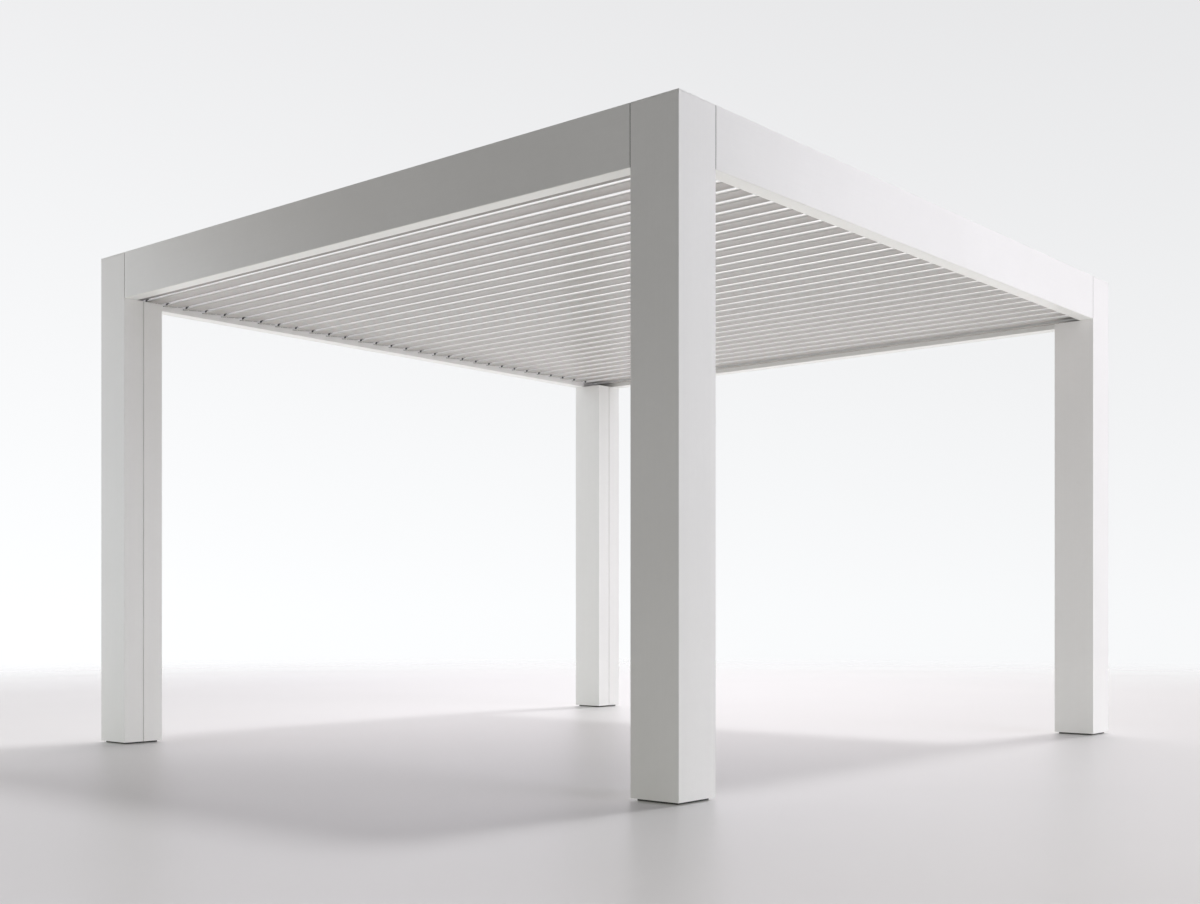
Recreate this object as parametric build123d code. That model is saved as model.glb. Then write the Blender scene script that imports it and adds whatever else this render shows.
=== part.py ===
from build123d import *
import os
import math

# Louvred-roof pergola in white powder-coated aluminium.
# Millimetres. Z is up, the floor is Z = 0, and the origin is on the floor
# under the middle of the roof. X runs along the louvre blades, Y across them.
# The front is the -Y side.

# ------------------------------------------------------------ overall sizes
LENGTH_X = 4130.0        # outside, along the louvres
DEPTH_Y = 4320.0         # outside, across the louvres
HEIGHT = 2750.0          # floor to the top of the roof
POST = 240.0             # square post, outside
POST_WALL = 5.0
FOOT_T = 10.0            # foot plate thickness, also the gap under the post skin
FOOT_INSET = 20.0        # how far the foot plate stands back from the post skin
CAP_T = 5.0              # cover plate on each post

# ------------------------------------------------------------ perimeter beams
BEAM_H = 255.0
BEAM_W = 82.0            # width of the bottom band
BEAM_Z0 = HEIGHT - BEAM_H
CHAMBER_W = 34.0         # closed outer chamber, the gutter trough is inside it
SKIN = 5.0               # outer wall of the beam
WALL = 4.0               # the beam's other walls
TROUGH_H = 80.0          # height of the trough's inner wall
SEAM_W = 4.0             # shadow gap where a beam meets a post
SEAM_D = 3.5
DRIP_U = 2.0             # drip groove under the outer skin, from the outer face
DRIP_W = 3.0
DRIP_D = 3.0

# ------------------------------------------------------------ post groove
GROOVE_W = 8.0
GROOVE_D = 7.0
GROOVE_WALL = 3.5        # wall of the channel behind the groove

# ------------------------------------------------------------ louvres
N_LOUVRES = 30
PITCH = 133.0
FIRST_PIVOT = 244.0      # first pivot, from the front outer face
UNDERSIDE_Z = 2525.0     # blade underside when closed
PIVOT_UP = 12.0          # pivot axis above the underside
NOSE = -34.0             # front edge, from the pivot
REAR = 90.0              # rear lower corner, from the pivot
TONGUE = 102.0           # tip of the rear tongue, from the pivot
NOSE_H = 3.0
TONGUE_Z0 = 9.0          # tongue above the underside
TONGUE_T = 2.5
CROWN = 28.0             # greatest thickness of a blade
BLADE_WALL = 2.0
END_PLATE = 3.0
END_GAP = 15.0           # blade end to beam face
REST_TILT = 6.0          # degrees open from closed, as in the photo
PIN_R = 6.0
PIN_OUT = 12.0           # stub pin beyond the end plate
BUSH_R = 11.0
BUSH_LEN = 12.0
BUSH_BORE_R = 6.08
BUSH_BORE_DEPTH = 10.0

# ------------------------------------------------------------ closing ledges
LEDGE_T = 5.0
FRONT_LEDGE_Z = 2537.0   # underside of the front ledge
FRONT_LEDGE_END = 216.0  # inner edge, from the front outer face
BACK_LEDGE_Z = 2523.0
LEDGE_LEG = 34.0         # upright leg against the beam

HX = LENGTH_X / 2
HY = DEPTH_Y / 2
PIVOT_Z = UNDERSIDE_Z + PIVOT_UP

os.makedirs("parts", exist_ok=True)


def slab(x0, x1, y0, y1, z0, z1):
    """A box between two corners."""
    b = Box(abs(x1 - x0), abs(y1 - y0), abs(z1 - z0))
    return Pos((x0 + x1) / 2, (y0 + y1) / 2, (z0 + z1) / 2) * b


def along_x(points, x0, x1):
    """A prism of a Y-Z outline, from x0 to x1."""
    face = make_face(Polyline(*points, close=True))
    return extrude(Plane.YZ.offset(x0) * face, amount=x1 - x0, dir=(1, 0, 0))


def along_y(points, y0, y1):
    """A prism of an X-Z outline, from y0 to y1."""
    pts = [Vector(x, y0, z) for x, z in points]
    face = make_face(Polyline(*pts, close=True))
    return extrude(face, amount=y1 - y0, dir=(0, 1, 0))


def save(shape, name):
    shape.label = name
    export_step(shape, "parts/%s.step" % name)


# ------------------------------------------------------------ posts
# Each post is drawn from its outer corner: u runs inward along X, v inward along Y.
def corner(sx, sy):
    def block(u0, u1, v0, v1, z0, z1):
        return slab(sx * (HX - u0), sx * (HX - u1),
                    sy * (HY - v0), sy * (HY - v1), z0, z1)
    return block


def post(sx, sy):
    b = corner(sx, sy)
    top = HEIGHT - CAP_T
    body = b(0, POST, 0, POST, FOOT_T, top)
    # above the beams' underside the post is an L, so that the louvres pass its inner corner
    body -= b(BEAM_W, POST + 1, BEAM_W, POST + 1, BEAM_Z0, top + 1)
    w = POST_WALL
    hollow = b(w, POST - w, w, POST - w, FOOT_T + w, BEAM_Z0 - w)
    hollow += b(w, BEAM_W - w, w, POST - w, BEAM_Z0 - w, top + 1)
    hollow += b(w, POST - w, w, BEAM_W - w, BEAM_Z0 - w, top + 1)
    # channel that carries the guide groove, inside the face that looks along the louvres
    half = GROOVE_W / 2 + GROOVE_WALL
    hollow -= b(POST - GROOVE_D - GROOVE_WALL, POST, POST / 2 - half, POST / 2 + half,
                FOOT_T + w, BEAM_Z0 - w)
    body -= hollow
    # guide groove in the middle of the face that looks along the louvres
    body -= b(POST - GROOVE_D, POST + 1, POST / 2 - GROOVE_W / 2, POST / 2 + GROOVE_W / 2,
              FOOT_T - 1, BEAM_Z0)
    return body


corners = {"front_right": (1, -1), "front_left": (-1, -1),
           "back_right": (1, 1), "back_left": (-1, 1)}
for name, (sx, sy) in corners.items():
    save(post(sx, sy), name + "_post")

# foot plates, set back from the posts' skins
feet = []
caps = []
for name, (sx, sy) in corners.items():
    b = corner(sx, sy)
    feet.append(b(FOOT_INSET, POST - FOOT_INSET, FOOT_INSET, POST - FOOT_INSET, 0, FOOT_T))
    cap = b(0, POST, 0, POST, HEIGHT - CAP_T, HEIGHT)
    cap -= b(BEAM_W, POST + 1, BEAM_W, POST + 1, HEIGHT - CAP_T - 1, HEIGHT + 1)
    caps.append(cap)
save(Compound(children=[s.solid() for s in feet]), "foot_plates")
save(Compound(children=[s.solid() for s in caps]), "post_caps")

# ------------------------------------------------------------ beams
# Section: a closed chamber behind the outer skin and an open gutter trough inside it.
def beam_section(place):
    outline = [(0, 0), (DRIP_U, 0), (DRIP_U, DRIP_D), (DRIP_U + DRIP_W, DRIP_D),
               (DRIP_U + DRIP_W, 0), (BEAM_W, 0), (BEAM_W, TROUGH_H), (BEAM_W - WALL, TROUGH_H),
               (BEAM_W - WALL, WALL), (CHAMBER_W, WALL), (CHAMBER_W, BEAM_H), (0, BEAM_H)]
    chamber = [(SKIN, WALL), (CHAMBER_W - WALL, WALL),
               (CHAMBER_W - WALL, BEAM_H - WALL), (SKIN, BEAM_H - WALL)]
    return [place(u, h) for u, h in outline], [place(u, h) for u, h in chamber]


def beam_along_x(sy):
    outer, inner = beam_section(lambda u, h: (sy * (HY - u), BEAM_Z0 + h))
    x1 = HX - POST
    body = along_x(outer, -x1, x1) - along_x(inner, -x1, x1)
    for sx in (-1, 1):
        body -= slab(sx * x1, sx * (x1 - SEAM_W), sy * (HY + 1), sy * (HY - SEAM_D),
                     BEAM_Z0 - 1, HEIGHT + 1)
    return body


def beam_along_y(sx):
    outer, inner = beam_section(lambda u, h: (sx * (HX - u), BEAM_Z0 + h))
    y1 = HY - POST
    body = along_y(outer, -y1, y1) - along_y(inner, -y1, y1)
    for sy in (-1, 1):
        body -= slab(sx * (HX + 1), sx * (HX - SEAM_D), sy * y1, sy * (y1 - SEAM_W),
                     BEAM_Z0 - 1, HEIGHT + 1)
    return body


save(beam_along_x(-1), "front_beam")
save(beam_along_x(1), "back_beam")
save(beam_along_y(-1), "left_beam")
save(beam_along_y(1), "right_beam")

# ------------------------------------------------------------ closing ledges
inner_x = HX - BEAM_W
front_in = -HY + BEAM_W
front = slab(-inner_x, inner_x, front_in, -HY + FRONT_LEDGE_END,
             FRONT_LEDGE_Z, FRONT_LEDGE_Z + LEDGE_T)
front += slab(-inner_x, inner_x, front_in, front_in + WALL,
              FRONT_LEDGE_Z, FRONT_LEDGE_Z + LEDGE_T + LEDGE_LEG)
save(front, "front_closing_ledge")

last_pivot = -HY + FIRST_PIVOT + PITCH * (N_LOUVRES - 1)
back_in = HY - BEAM_W
back = slab(-inner_x, inner_x, last_pivot + PITCH + NOSE, back_in,
            BACK_LEDGE_Z, BACK_LEDGE_Z + LEDGE_T)
back += slab(-inner_x, inner_x, back_in - WALL, back_in,
             BACK_LEDGE_Z, BACK_LEDGE_Z + LEDGE_T + LEDGE_LEG)
save(back, "back_closing_ledge")

# ------------------------------------------------------------ louvre blades
# Section from the pivot: y back, h up from the underside. Hollow, with a web by the crown.
OUTLINE = [(NOSE, 0), (REAR, 0), (REAR, TONGUE_Z0), (TONGUE, TONGUE_Z0),
           (TONGUE, TONGUE_Z0 + TONGUE_T), (REAR + 1, TONGUE_Z0 + TONGUE_T),
           (70, 24), (45, CROWN), (20, 24), (-2, 15), (-16, NOSE_H), (NOSE, NOSE_H)]
CHAMBER_A = [(-8, BLADE_WALL), (36, BLADE_WALL), (36, 24.3), (20.6, 21.9), (-1.2, 13), (-8, 7.2)]
CHAMBER_B = [(40, BLADE_WALL), (REAR - BLADE_WALL, BLADE_WALL), (REAR - BLADE_WALL, 10.9),
             (69.2, 22.1), (45, 25.9), (40, 25.1)]


def tilt(points):
    a = math.radians(REST_TILT)
    out = []
    for y, h in points:
        z = h - PIVOT_UP
        out.append((y * math.cos(a) - z * math.sin(a), y * math.sin(a) + z * math.cos(a)))
    return out


def blade(pivot_y):
    def place(points):
        return [(pivot_y + y, PIVOT_Z + z) for y, z in tilt(points)]
    x1 = inner_x - END_GAP
    body = along_x(place(OUTLINE), -x1, x1)
    for ch in (CHAMBER_A, CHAMBER_B):
        body -= along_x(place(ch), -x1 + END_PLATE, x1 - END_PLATE)
    # weep slots through the end plates, one for each chamber
    for y0, y1 in ((12, 24), (56, 68)):
        slot = place([(y0, 3), (y1, 3), (y1, 8), (y0, 8)])
        body -= along_x(slot, -x1 - 1, -x1 + END_PLATE + 1)
        body -= along_x(slot, x1 - END_PLATE - 1, x1 + 1)
    for s in (-1, 1):
        pin = Pos(s * (x1 - END_PLATE + (END_PLATE + PIN_OUT) / 2), pivot_y, PIVOT_Z) \
            * Rot(0, 90, 0) * Cylinder(PIN_R, END_PLATE + PIN_OUT)
        body += pin
    return body


bushes = {"left": [], "right": []}
for i in range(N_LOUVRES):
    py = -HY + FIRST_PIVOT + PITCH * i
    save(blade(py), "louvre_%02d" % (i + 1))
    for side, s in (("left", -1), ("right", 1)):
        b = Pos(s * (inner_x - BUSH_LEN / 2), py, PIVOT_Z) * Rot(0, 90, 0) * Cylinder(BUSH_R, BUSH_LEN)
        b -= Pos(s * (inner_x - BUSH_LEN + BUSH_BORE_DEPTH / 2), py, PIVOT_Z) \
            * Rot(0, 90, 0) * Cylinder(BUSH_BORE_R, BUSH_BORE_DEPTH)
        bushes[side].append(b.solid())
for side in bushes:
    save(Compound(children=bushes[side]), "pivot_bushes_" + side)
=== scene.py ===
import bpy
import bmesh
import math
from mathutils import Matrix, Vector


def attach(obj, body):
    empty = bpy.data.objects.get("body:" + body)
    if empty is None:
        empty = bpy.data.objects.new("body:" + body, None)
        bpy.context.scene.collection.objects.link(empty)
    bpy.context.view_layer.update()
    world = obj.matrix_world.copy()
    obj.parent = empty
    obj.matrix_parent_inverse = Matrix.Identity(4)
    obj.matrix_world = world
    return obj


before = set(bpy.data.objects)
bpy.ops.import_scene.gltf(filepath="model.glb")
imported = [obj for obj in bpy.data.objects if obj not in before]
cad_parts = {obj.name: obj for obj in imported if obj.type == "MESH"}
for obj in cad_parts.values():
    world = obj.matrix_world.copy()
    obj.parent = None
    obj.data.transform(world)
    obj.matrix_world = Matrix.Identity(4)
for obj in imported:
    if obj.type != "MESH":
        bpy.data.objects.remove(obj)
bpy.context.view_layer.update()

scene = bpy.context.scene

# ------------------------------------------------------------ camera
cam_data = bpy.data.cameras.new("camera")
cam = bpy.data.objects.new("camera", cam_data)
scene.collection.objects.link(cam)
cam.location = (5.4189, -6.5531, 0.7488)
cam.rotation_euler = (math.radians(90), 0, 0.70671)
cam_data.sensor_width = 36.0
cam_data.lens = 43.2285
cam_data.shift_y = 0.1321
cam_data.clip_end = 400
scene.camera = cam

# ------------------------------------------------------------ sizes, in metres
HX, HY, HEIGHT = 2.065, 2.16, 2.75
POST = 0.240
BEAM_W = 0.082
BEAM_Z0 = 2.495
CHAMBER_W = 0.034
TROUGH_TOP = BEAM_Z0 + 0.080
PIVOT_Z = 2.537
FIRST_PIVOT = -HY + 0.244
PITCH = 0.133
N_LOUVRES = 30
INNER_X = HX - BEAM_W
BLADE_END = INNER_X - 0.015
REST_TILT = math.radians(6.0)
PIVOT_UP = 0.012
CAP_LEN = 0.010
# section of a blade's end cap, from the pivot's foot on the underside, going round; two drain notches
BLADE = [(-0.034, 0), (0.016, 0), (0.016, 0.0085), (0.024, 0.0085), (0.024, 0),
         (0.056, 0), (0.056, 0.0085), (0.068, 0.0085), (0.068, 0), (0.090, 0), (0.090, 0.009), (0.102, 0.009), (0.102, 0.0115),
         (0.091, 0.0115), (0.070, 0.024), (0.045, 0.028), (0.020, 0.024), (-0.002, 0.015),
         (-0.016, 0.003), (-0.034, 0.003)]


# ------------------------------------------------------------ materials
def nodes_of(mat):
    mat.use_nodes = True
    return mat.node_tree.nodes, mat.node_tree.links


def coords(nt, links, scale):
    """The piece's own coordinates, in metres, stretched by scale."""
    tc = nt.new("ShaderNodeTexCoord")
    mp = nt.new("ShaderNodeMapping")
    mp.inputs["Scale"].default_value = scale
    links.new(tc.outputs["Object"], mp.inputs["Vector"])
    return mp.outputs["Vector"]


def noise(nt, links, vector, scale, detail=2.0, rough=0.5):
    n = nt.new("ShaderNodeTexNoise")
    n.inputs["Scale"].default_value = scale
    n.inputs["Detail"].default_value = detail
    n.inputs["Roughness"].default_value = rough
    links.new(vector, n.inputs["Vector"])
    return n.outputs["Fac"]


def ranged(nt, links, value, a, b, lo=0.3, hi=0.7):
    m = nt.new("ShaderNodeMapRange")
    m.inputs["From Min"].default_value = lo
    m.inputs["From Max"].default_value = hi
    m.inputs["To Min"].default_value = a
    m.inputs["To Max"].default_value = b
    links.new(value, m.inputs["Value"])
    return m.outputs["Result"]


def mixed(nt, links, fac, a, b):
    m = nt.new("ShaderNodeMix")
    m.data_type = "RGBA"
    links.new(fac, m.inputs["Factor"])
    for sock, v in ((m.inputs[6], a), (m.inputs[7], b)):
        if isinstance(v, tuple):
            sock.default_value = (*v, 1.0)
        else:
            links.new(v, sock)
    return m.outputs[2]


def powder_coat(name, light, dark, along, rough=0.34, shaded_under=None):
    """Satin powder coat on an extrusion: slow tone drift, faint draw lines along it, fine orange peel.
    The optional second colour pair paints the faces turned down under a louvre blade darker: painted shade."""
    mat = bpy.data.materials.new(name)
    nt, links = nodes_of(mat)
    b = nt["Principled BSDF"]
    plain = coords(nt, links, (1, 1, 1))
    draw = [30.0, 30.0, 30.0]
    draw["xyz".index(along)] = 0.35
    lines = noise(nt, links, coords(nt, links, tuple(draw)), 4.0, 3.0, 0.6)
    drift = noise(nt, links, plain, 1.7, 3.0, 0.55)
    cloud = noise(nt, links, plain, 34.0, 3.0, 0.6)
    peel = noise(nt, links, plain, 620.0, 2.0, 0.5)
    speck = noise(nt, links, plain, 2400.0, 1.0, 0.5)
    base = mixed(nt, links, ranged(nt, links, drift, 0.0, 1.0), dark, light)
    fine = tuple(c * 0.975 for c in dark)
    tone = mixed(nt, links, ranged(nt, links, cloud, 0.30, 0.0), base, fine)
    draw_lines_and_shade = mixed(nt, links, ranged(nt, links, lines, 0.22, 0.0, 0.35, 0.6), tone, fine)
    if shaded_under:
        # the blade's down direction, tilted with it at rest; faces turned that way get the darker colour, painted shade
        geo = nt.new("ShaderNodeTexCoord")
        dot = nt.new("ShaderNodeVectorMath")
        dot.operation = "DOT_PRODUCT"
        dot.inputs[1].default_value = (0.0, math.sin(REST_TILT), -math.cos(REST_TILT))
        links.new(geo.outputs["Normal"], dot.inputs[0])
        down_shade_mask = ranged(nt, links, dot.outputs["Value"], 0.0, 1.0, 0.80, 0.95)
        shade_light, shade_dark = shaded_under
        shaded_low = mixed(nt, links, ranged(nt, links, drift, 0.0, 1.0), shade_dark, shade_light)
        shaded_low = mixed(nt, links, ranged(nt, links, lines, 0.35, 0.0, 0.35, 0.6), shaded_low, tuple(c * 0.97 for c in shade_dark))
        draw_lines_and_shade = mixed(nt, links, down_shade_mask, draw_lines_and_shade, shaded_low)
    links.new(draw_lines_and_shade, b.inputs["Base Color"])
    r = nt.new("ShaderNodeMath")
    r.operation = "ADD"
    links.new(ranged(nt, links, cloud, rough - 0.035, rough + 0.035), r.inputs[0])
    links.new(ranged(nt, links, lines, -0.02, 0.025), r.inputs[1])
    links.new(r.outputs[0], b.inputs["Roughness"])
    h = nt.new("ShaderNodeMath")
    h.operation = "MULTIPLY_ADD"
    links.new(speck, h.inputs[0])
    h.inputs[1].default_value = 0.25
    links.new(peel, h.inputs[2])
    bump = nt.new("ShaderNodeBump")
    bump.inputs["Strength"].default_value = 0.10
    bump.inputs["Distance"].default_value = 0.0004
    links.new(h.outputs[0], bump.inputs["Height"])
    links.new(bump.outputs["Normal"], b.inputs["Normal"])
    b.inputs["IOR"].default_value = 1.48
    return mat


def moulded(name, light, dark, rough, scale=900.0, strength=0.2):
    """Moulded plastic or rubber with a fine grain."""
    mat = bpy.data.materials.new(name)
    nt, links = nodes_of(mat)
    b = nt["Principled BSDF"]
    v = coords(nt, links, (1, 1, 1))
    fine = noise(nt, links, v, scale, 2.0)
    slow = noise(nt, links, v, 60.0, 3.0)
    links.new(mixed(nt, links, ranged(nt, links, slow, 0.0, 1.0), dark, light), b.inputs["Base Color"])
    links.new(ranged(nt, links, slow, rough - 0.06, rough + 0.06), b.inputs["Roughness"])
    bump = nt.new("ShaderNodeBump")
    bump.inputs["Strength"].default_value = strength
    bump.inputs["Distance"].default_value = 0.0003
    links.new(fine, bump.inputs["Height"])
    links.new(bump.outputs["Normal"], b.inputs["Normal"])
    return mat


def steel(name, light, dark, rough):
    """Brushed stainless steel."""
    mat = bpy.data.materials.new(name)
    nt, links = nodes_of(mat)
    b = nt["Principled BSDF"]
    fine = noise(nt, links, coords(nt, links, (1, 1, 14)), 500.0, 2.0)
    slow = noise(nt, links, coords(nt, links, (1, 1, 1)), 90.0, 2.0)
    links.new(mixed(nt, links, ranged(nt, links, slow, 0.0, 1.0), dark, light), b.inputs["Base Color"])
    links.new(ranged(nt, links, fine, rough - 0.08, rough + 0.08), b.inputs["Roughness"])
    b.inputs["Metallic"].default_value = 1.0
    return mat


FRAME_LIGHT, FRAME_DARK = (0.835, 0.832, 0.826), (0.808, 0.804, 0.797)
# louvre coat: a greyer copy of the frame's white, painted shade
BLADE_LIGHT, BLADE_DARK = (0.710, 0.706, 0.699), (0.685, 0.681, 0.674)
# louvre undersides: a much darker copy of the louvre colour, painted shade
UNDER_SHADE_LIGHT, UNDER_SHADE_DARK = (0.380, 0.355, 0.346), (0.360, 0.336, 0.327)
mats = {
    "post": powder_coat("powder_coat_upright", FRAME_LIGHT, FRAME_DARK, "z"),
    "beam_x": powder_coat("powder_coat_lengthwise", FRAME_LIGHT, FRAME_DARK, "x"),
    "beam_y": powder_coat("powder_coat_crosswise", FRAME_LIGHT, FRAME_DARK, "y"),
    "blade": powder_coat("powder_coat_louvre_painted_shade", BLADE_LIGHT, BLADE_DARK, "x", 0.33, (UNDER_SHADE_LIGHT, UNDER_SHADE_DARK)),
    "end_cap": moulded("grey_end_cap", (0.095, 0.093, 0.092), (0.072, 0.070, 0.070), 0.5),
    "seal": moulded("black_seal_painted_gap_shade", (0.035, 0.035, 0.036), (0.022, 0.022, 0.023), 0.62, 700.0),
    "bush": moulded("charcoal_polyamide", (0.045, 0.045, 0.047), (0.028, 0.028, 0.03), 0.48),
    # foot plates near black: painted shade for the dark line under each post
    "foot": moulded("foot_plate_painted_shade", (0.05, 0.05, 0.05), (0.03, 0.03, 0.031), 0.55, 400.0),
    "steel": steel("stainless_steel", (0.72, 0.71, 0.70), (0.58, 0.57, 0.56), 0.32),
}


def material_for(node):
    if node.startswith("louvre") or node.endswith("ledge"):
        return mats["blade"]
    if node.startswith("pivot_bushes"):
        return mats["bush"]
    if node == "foot_plates":
        return mats["foot"]
    if node in ("front_beam", "back_beam", "post_caps"):
        return mats["beam_x"]
    if node in ("left_beam", "right_beam"):
        return mats["beam_y"]
    return mats["post"]


BEVEL = {"post": 0.0016, "beam": 0.0014, "louvre": 0.0007, "cap": 0.0006, "ledge": 0.0008}
for name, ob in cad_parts.items():
    m = material_for(name)
    if len(ob.material_slots) == 0:
        ob.data.materials.append(m)
    for s in ob.material_slots:
        s.material = m
    weld = ob.modifiers.new("weld", "WELD")
    weld.merge_threshold = 0.00002
    width = 0.0005
    for key, w in BEVEL.items():
        if key in name:
            width = w
    if name == "post_caps":
        width = BEVEL["cap"]
    bev = ob.modifiers.new("edges", "BEVEL")
    bev.width = width
    bev.segments = 2
    bev.limit_method = "ANGLE"
    bev.angle_limit = math.radians(28)
    bev.use_clamp_overlap = True
    bev.harden_normals = False
    wn = ob.modifiers.new("normals", "WEIGHTED_NORMAL")
    wn.keep_sharp = False
    wn.weight = 100

# ------------------------------------------------------------ small parts
def from_bmesh(name, bm, mat, body, bevel=0.0):
    """A new piece on a CAD body."""
    bmesh.ops.recalc_face_normals(bm, faces=bm.faces)
    me = bpy.data.meshes.new(name)
    bm.to_mesh(me)
    bm.free()
    ob = bpy.data.objects.new(name, me)
    scene.collection.objects.link(ob)
    me.materials.append(mat)
    for p in me.polygons:
        p.use_smooth = True
    if bevel:
        bev = ob.modifiers.new("edges", "BEVEL")
        bev.width = bevel
        bev.segments = 2
        bev.limit_method = "ANGLE"
        bev.angle_limit = math.radians(28)
        wn = ob.modifiers.new("normals", "WEIGHTED_NORMAL")
        wn.weight = 100
    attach(ob, body)
    return ob


def prism(bm, ring_a, ring_b):
    """A closed solid between two rings of points."""
    a = [bm.verts.new(p) for p in ring_a]
    b = [bm.verts.new(p) for p in ring_b]
    n = len(a)
    for i in range(n):
        bm.faces.new((a[i], a[(i + 1) % n], b[(i + 1) % n], b[i]))
    bm.faces.new(list(reversed(a)))
    bm.faces.new(b)


# black seals in the shadow gaps between beams and posts: a round bead with two lips; their black deepens the gaps'
# shade, painted shade
def seal_section():
    pts = [(-0.0018, 0.0), (-0.0018, 0.0006)]
    for k in range(9):
        t = math.pi * (1 - k / 8)
        pts.append((0.0013 * math.cos(t), 0.0006 + 0.0010 * math.sin(t)))
    pts += [(0.0018, 0.0006), (0.0018, 0.0)]
    return pts


bm = bmesh.new()
z0, z1 = BEAM_Z0 + 0.0008, HEIGHT - 0.0008
for sx in (-1, 1):
    for sy in (-1, 1):
        mid_x, deep_y = sx * (HX - POST - 0.002), sy * (HY - 0.0034)
        ring = [(mid_x + u, deep_y + sy * v) for u, v in seal_section()]
        prism(bm, [(x, y, z0) for x, y in ring], [(x, y, z1) for x, y in ring])
        deep_x, mid_y = sx * (HX - 0.0034), sy * (HY - POST - 0.002)
        ring = [(deep_x + sx * v * 1.6, mid_y + u) for u, v in seal_section()]
        prism(bm, [(x, y, z0) for x, y in ring], [(x, y, z1) for x, y in ring])
from_bmesh("beam_seals", bm, mats["seal"], "frame")


# moulded caps on the blades' ends, cut round the pivot bushes
def round_cut(radius=0.0142, steps=10):
    """The blade's section without a disc round the pivot, as a front and a rear outline."""
    def inside(p):
        return math.hypot(p[0], p[1] - PIVOT_UP) < radius

    pieces, current = [], []
    n = len(BLADE)
    crossings = []
    dense = []
    for i in range(n):
        (x0, y0), (x1, y1) = BLADE[i], BLADE[(i + 1) % n]
        dense.append((x0, y0))
        # where this side meets the circle
        dx, dy = x1 - x0, y1 - y0
        fx, fy = x0, y0 - PIVOT_UP
        qa, qb, qc = dx * dx + dy * dy, 2 * (fx * dx + fy * dy), fx * fx + fy * fy - radius * radius
        disc = qb * qb - 4 * qa * qc
        if disc > 0:
            for t in sorted(((-qb - math.sqrt(disc)) / (2 * qa), (-qb + math.sqrt(disc)) / (2 * qa))):
                if 0 < t < 1:
                    dense.append((x0 + dx * t, y0 + dy * t, "x"))
    keep = [p for p in dense if len(p) == 3 or not inside(p)]
    out = []
    for want_rear in (False, True):
        part = [p for p in keep if (p[0] > 0) == want_rear]
        # the two crossing points end the arc
        cross = [p for p in part if len(p) == 3]
        k = [i for i, p in enumerate(part) if len(p) == 3]
        if want_rear:
            start = k[0]
            part = part[start:] + part[:start]
        else:
            i0 = k[0]
            if len(part[(i0 + 1) % len(part)]) == 3:
                start = (i0 + 1) % len(part)
            else:
                start = i0
            part = part[start:] + part[:start]
        first, last = part[0], part[-1]
        a0 = math.atan2(last[1] - PIVOT_UP, last[0])
        a1 = math.atan2(first[1] - PIVOT_UP, first[0])
        if not want_rear:
            a0, a1 = a0 % (2 * math.pi), a1 % (2 * math.pi)
        arc = []
        for s in range(1, steps):
            a = a0 + (a1 - a0) * s / steps
            arc.append((radius * math.cos(a), PIVOT_UP + radius * math.sin(a)))
        out.append([(p[0], p[1]) for p in part] + arc)
    return out


def tilted(y, h, pivot_y):
    z = h - PIVOT_UP
    return (pivot_y + y * math.cos(REST_TILT) - z * math.sin(REST_TILT),
            PIVOT_Z + y * math.sin(REST_TILT) + z * math.cos(REST_TILT))


outlines = round_cut()
for i in range(N_LOUVRES):
    py = FIRST_PIVOT + PITCH * i
    bm = bmesh.new()
    for s in (-1, 1):
        for outline in outlines:
            ring = [tilted(y, h, py) for y, h in outline]
            prism(bm, [(s * BLADE_END, y, z) for y, z in ring],
                  [(s * (BLADE_END + CAP_LEN), y, z) for y, z in ring])
    from_bmesh("louvre_end_caps_%02d" % (i + 1), bm, mats["end_cap"], "louvre_%02d" % (i + 1), 0.0004)


# button-head screws with a hex socket, along the closing ledges
def screw(bm, at, out, radius=0.0048, tall=0.0026, sides=20):
    out = Vector(out).normalized()
    u = out.orthogonal().normalized()
    w = out.cross(u)
    at = Vector(at)

    def circle(r, h, n=sides, turn=0.0):
        return [at + out * h + (u * math.cos(turn + 2 * math.pi * k / n) + w * math.sin(turn + 2 * math.pi * k / n)) * r
                for k in range(n)]
    rings = [circle(radius, -0.0004), circle(radius, 0.0005), circle(radius * 0.93, tall * 0.55),
             circle(radius * 0.72, tall * 0.9), circle(radius * 0.56, tall)]
    loops = [[bm.verts.new(p) for p in r] for r in rings]
    for a, b in zip(loops, loops[1:]):
        for k in range(sides):
            bm.faces.new((a[k], a[(k + 1) % sides], b[(k + 1) % sides], b[k]))
    bm.faces.new(list(reversed(loops[0])))
    # socket: a hexagon sunk in the head, its rim drawn with as many points as the head's last ring
    def hexring(r, h):
        pts = []
        for k in range(sides):
            a = 2 * math.pi * k / sides
            seg = (a % (math.pi / 3)) - math.pi / 6
            pts.append(at + out * h + (u * math.cos(a) + w * math.sin(a)) * (r * math.cos(math.pi / 6) / math.cos(seg)))
        return pts
    top = [bm.verts.new(p) for p in hexring(radius * 0.42, tall)]
    shaded_low = [bm.verts.new(p) for p in hexring(radius * 0.40, tall * 0.35)]
    for a, b in ((loops[-1], top), (top, shaded_low)):
        for k in range(sides):
            bm.faces.new((a[k], a[(k + 1) % sides], b[(k + 1) % sides], b[k]))
    bm.faces.new(shaded_low)


bm = bmesh.new()
front_leg = -HY + BEAM_W + 0.004
back_leg = HY - BEAM_W - 0.004
for k in range(11):
    x = -1.90 + 0.38 * k
    screw(bm, (x, front_leg, 2.561), (0, 1, 0))
    screw(bm, (x, back_leg, 2.547), (0, -1, 0))
from_bmesh("ledge_screws", bm, mats["steel"], "frame")


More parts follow.
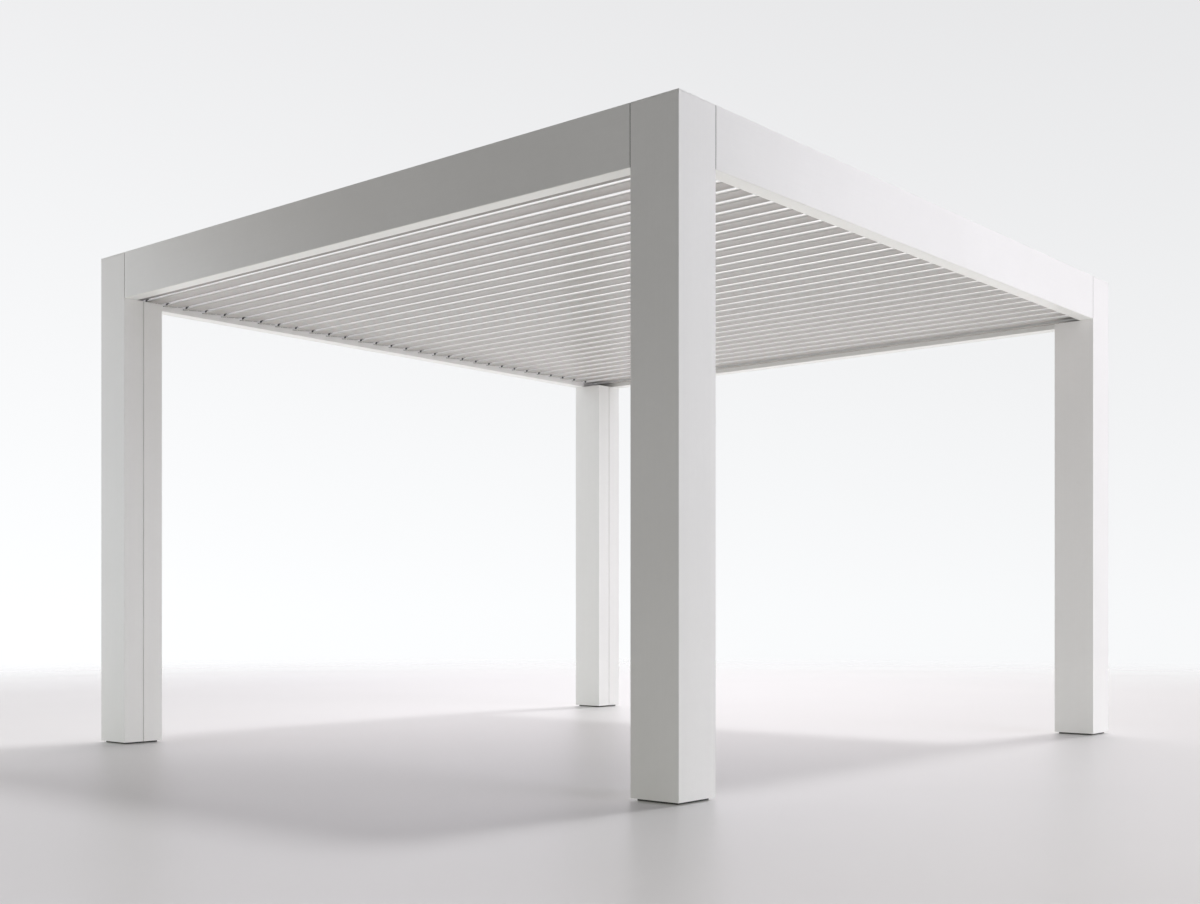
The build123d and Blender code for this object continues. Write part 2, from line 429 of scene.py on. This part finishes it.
# slotted outlet plates where each gutter trough meets a post
def outlet(bm, corner, across, out):
    """A plate 38 mm wide and 62 mm tall with four upright slots."""
    corner, across, out = Vector(corner), Vector(across), Vector(out)
    up = Vector((0, 0, 1))
    xs = [0.0, 0.004, 0.0085, 0.0125, 0.017, 0.021, 0.0255, 0.0295, 0.034, 0.038]
    zs = [0.0, 0.006, 0.056, 0.062]

    def block(a0, a1, h0, h1, thick=0.0016):
        ring = [corner + across * a + up * h for a, h in ((a0, h0), (a1, h0), (a1, h1), (a0, h1))]
        prism(bm, [p + out * 0.0001 for p in ring], [p + out * thick for p in ring])
    block(xs[0], xs[-1], zs[0], zs[1])
    block(xs[0], xs[-1], zs[2], zs[3])
    for k in range(0, len(xs), 2):
        block(xs[k], xs[k + 1], zs[1], zs[2])


bm = bmesh.new()
trough = CHAMBER_W + 0.003
for sx in (-1, 1):
    for sy in (-1, 1):
        outlet(bm, (sx * (HX - POST), sy * (HY - trough), BEAM_Z0 + 0.006), (0, -sy, 0), (-sx, 0, 0))
        outlet(bm, (sx * (HX - trough), sy * (HY - POST), BEAM_Z0 + 0.006), (-sx, 0, 0), (0, -sy, 0))
from_bmesh("gutter_outlets", bm, mats["end_cap"], "frame")

# ------------------------------------------------------------ stage
FADE_0, FADE_1 = 6.0, 15.0
# soft lights at infinity: azimuth and elevation in degrees, how tight, colour times strength
SKY = [
    (0, 8, 14, (5.740, 5.494, 5.879)),
    (45, 8, 14, (0.218, 0.341, 0.308)),
    (135, 8, 14, (0.738, 0.719, 0.807)),
    (180, 8, 14, (1.715, 1.764, 1.746)),
    (225, 8, 14, (1.382, 1.477, 1.567)),
    (315, 8, 14, (1.556, 1.455, 1.435)),
    (0, 42, 10, (0.228, 0.253, 0.308)),
    (120, 42, 10, (2.984, 2.867, 2.826)),
    (180, 42, 10, (0.268, 0.211, 0.162)),
    (240, 42, 10, (1.051, 1.085, 1.090)),
    (0, 90, 8, (0.276, 0.263, 0.257)),
]
GROUND = (0.70, 0.685, 0.69)
FLOOR_GLOW = 0.285
SUN_ENERGY, SUN_ANGLE = 1.069, 9.0
me = bpy.data.meshes.new("floor")
bm = bmesh.new()
bmesh.ops.create_grid(bm, x_segments=2, y_segments=2, size=60)
bm.to_mesh(me)
bm.free()
floor = bpy.data.objects.new("floor", me)
scene.collection.objects.link(floor)
fm = bpy.data.materials.new("floor")
nt, links = nodes_of(fm)
b = nt["Principled BSDF"]
v = coords(nt, links, (1, 1, 1))
slow = noise(nt, links, v, 0.6, 3.0)
links.new(mixed(nt, links, ranged(nt, links, slow, 0.0, 1.0), (0.675, 0.668, 0.674), (0.69, 0.683, 0.689)), b.inputs["Base Color"])
b.inputs["Roughness"].default_value = 0.38
tc = nt.new("ShaderNodeTexCoord")
ln = nt.new("ShaderNodeVectorMath")
ln.operation = "LENGTH"
links.new(tc.outputs["Object"], ln.inputs[0])
fade = nt.new("ShaderNodeMapRange")
fade.interpolation_type = "SMOOTHSTEP"
fade.inputs["From Min"].default_value = FADE_0
fade.inputs["From Max"].default_value = FADE_1
links.new(ln.outputs["Value"], fade.inputs["Value"])
# a light table: what the floor sends up is a little more than it shows
lp = nt.new("ShaderNodeLightPath")
glow = nt.new("ShaderNodeMapRange")
glow.inputs["To Min"].default_value = FLOOR_GLOW
glow.inputs["To Max"].default_value = 0.0
links.new(lp.outputs["Is Camera Ray"], glow.inputs["Value"])
b.inputs["Emission Color"].default_value = (0.982, 1.000, 0.867, 1)
links.new(glow.outputs["Result"], b.inputs["Emission Strength"])
tr = nt.new("ShaderNodeBsdfTransparent")
mx = nt.new("ShaderNodeMixShader")
links.new(fade.outputs["Result"], mx.inputs[0])
links.new(b.outputs[0], mx.inputs[1])
links.new(tr.outputs[0], mx.inputs[2])
links.new(mx.outputs[0], nt["Material Output"].inputs["Surface"])
me.materials.append(fm)

# world: pale backdrop for the camera; the soft lights for everything else
world = bpy.data.worlds.new("world")
scene.world = world
world.use_nodes = True
nt, links = world.node_tree.nodes, world.node_tree.links
bg = nt["Background"]
tc = nt.new("ShaderNodeTexCoord")
sep = nt.new("ShaderNodeSeparateXYZ")
links.new(tc.outputs["Generated"], sep.inputs[0])
total = None
for azimuth, elevation, tight, colour in SKY:
    a, e = math.radians(azimuth), math.radians(elevation)
    dot = nt.new("ShaderNodeVectorMath")
    dot.operation = "DOT_PRODUCT"
    dot.inputs[1].default_value = (math.cos(e) * math.cos(a), math.cos(e) * math.sin(a), math.sin(e))
    links.new(tc.outputs["Generated"], dot.inputs[0])
    facing = nt.new("ShaderNodeMath")
    facing.operation = "MAXIMUM"
    facing.inputs[1].default_value = 0.0
    links.new(dot.outputs["Value"], facing.inputs[0])
    spread = nt.new("ShaderNodeMath")
    spread.operation = "POWER"
    spread.inputs[1].default_value = tight
    links.new(facing.outputs[0], spread.inputs[0])
    lit = nt.new("ShaderNodeVectorMath")
    lit.operation = "SCALE"
    lit.inputs[0].default_value = colour
    links.new(spread.outputs[0], lit.inputs["Scale"])
    if total is None:
        total = lit.outputs[0]
    else:
        add = nt.new("ShaderNodeVectorMath")
        add.operation = "ADD"
        links.new(total, add.inputs[0])
        links.new(lit.outputs[0], add.inputs[1])
        total = add.outputs[0]
# below the horizon the pale floor goes on
below = nt.new("ShaderNodeMapRange")
below.inputs["From Min"].default_value = 0.0
below.inputs["From Max"].default_value = -0.05
links.new(sep.outputs["Z"], below.inputs["Value"])
ground = nt.new("ShaderNodeVectorMath")
ground.operation = "SCALE"
ground.inputs[0].default_value = GROUND
links.new(below.outputs["Result"], ground.inputs["Scale"])
add = nt.new("ShaderNodeVectorMath")
add.operation = "ADD"
links.new(total, add.inputs[0])
links.new(ground.outputs[0], add.inputs[1])
links.new(add.outputs[0], bg.inputs["Color"])
ramp = nt.new("ShaderNodeValToRGB")
ramp.color_ramp.elements[0].position = 0.5
ramp.color_ramp.elements[0].color = (0.965, 0.975, 0.985, 1)
ramp.color_ramp.elements[1].position = 0.72
ramp.color_ramp.elements[1].color = (0.80, 0.80, 0.81, 1)
zz = nt.new("ShaderNodeMath")
zz.operation = "MULTIPLY_ADD"
zz.inputs[1].default_value = 0.5
zz.inputs[2].default_value = 0.5
links.new(sep.outputs["Z"], zz.inputs[0])
links.new(zz.outputs[0], ramp.inputs[0])
along = nt.new("ShaderNodeVectorMath")
along.operation = "DOT_PRODUCT"
along.inputs[1].default_value = (0.7605, 0.6493, 0.0)
links.new(tc.outputs["Generated"], along.inputs[0])
dim = nt.new("ShaderNodeMapRange")
dim.inputs["From Min"].default_value = -0.36
dim.inputs["From Max"].default_value = 0.36
dim.inputs["To Min"].default_value = 1.04
dim.inputs["To Max"].default_value = 0.97
links.new(along.outputs["Value"], dim.inputs["Value"])
back = nt.new("ShaderNodeBackground")
links.new(ramp.outputs[0], back.inputs[0])
links.new(dim.outputs["Result"], back.inputs[1])
lp = nt.new("ShaderNodeLightPath")
mx = nt.new("ShaderNodeMixShader")
links.new(lp.outputs["Is Camera Ray"], mx.inputs[0])
links.new(bg.outputs[0], mx.inputs[1])
links.new(back.outputs[0], mx.inputs[2])
links.new(mx.outputs[0], nt["World Output"].inputs["Surface"])

# flags: dark screens of the studio, most glowing faintly as a soft fill, outside the picture and unseen by the camera
def flag(name, glow, corners):
    black = bpy.data.materials.new(name)
    nt, links = nodes_of(black)
    b = nt["Principled BSDF"]
    b.inputs["Base Color"].default_value = (0.02, 0.02, 0.02, 1)
    b.inputs["Roughness"].default_value = 1.0
    b.inputs["Emission Color"].default_value = (*glow, 1)
    b.inputs["Emission Strength"].default_value = 1.0
    me = bpy.data.meshes.new(name)
    me.from_pydata([Vector(c) for c in corners], [], [(0, 1, 2, 3)])
    ob = bpy.data.objects.new(name, me)
    scene.collection.objects.link(ob)
    me.materials.append(black)
    ob.visible_camera = False
    return ob


flag("flag_front_low", (0.246, 0.241, 0.252), [(7.5, -7.6, 0.0), (-1.5, -3.9, 0.0), (-1.5, -3.9, 1.5), (7.5, -7.6, 1.5)])
flag("flag_front_high", (0.184, 0.183, 0.176), [(7.5, -7.6, 1.5), (-1.5, -3.9, 1.5), (-1.5, -3.9, 6), (7.5, -7.6, 6)])
flag("flag_left", (0.278, 0.246, 0.209), [(-1.5, -3.9, 2.6), (-3.4, -3.5, 3.2), (-3.4, -3.5, 6), (-1.5, -3.9, 6)])
flag("flag_side", (0.000, 0.000, 0.000), [(7.5, -7.6, 0.4), (7.0, -2.4, 0.4), (7.0, -2.4, 6), (7.5, -7.6, 6)])
# the screens' outer side glows pale, a soft light, so that the floor behind them keeps its tone
flag("flag_front_outer", (0.720, 0.710, 0.715), [(7.498, -7.605, 0.0), (-1.502, -3.905, 0.0), (-1.502, -3.905, 6), (7.498, -7.605, 6)])

sun = bpy.data.lights.new("sun", "SUN")
sun.energy = SUN_ENERGY
sun.angle = math.radians(SUN_ANGLE)
so = bpy.data.objects.new("sun", sun)
scene.collection.objects.link(so)
so.rotation_euler = Vector((-0.04, -0.53, -1.0)).to_track_quat("-Z", "Y").to_euler()

scene.view_settings.view_transform = "Standard"
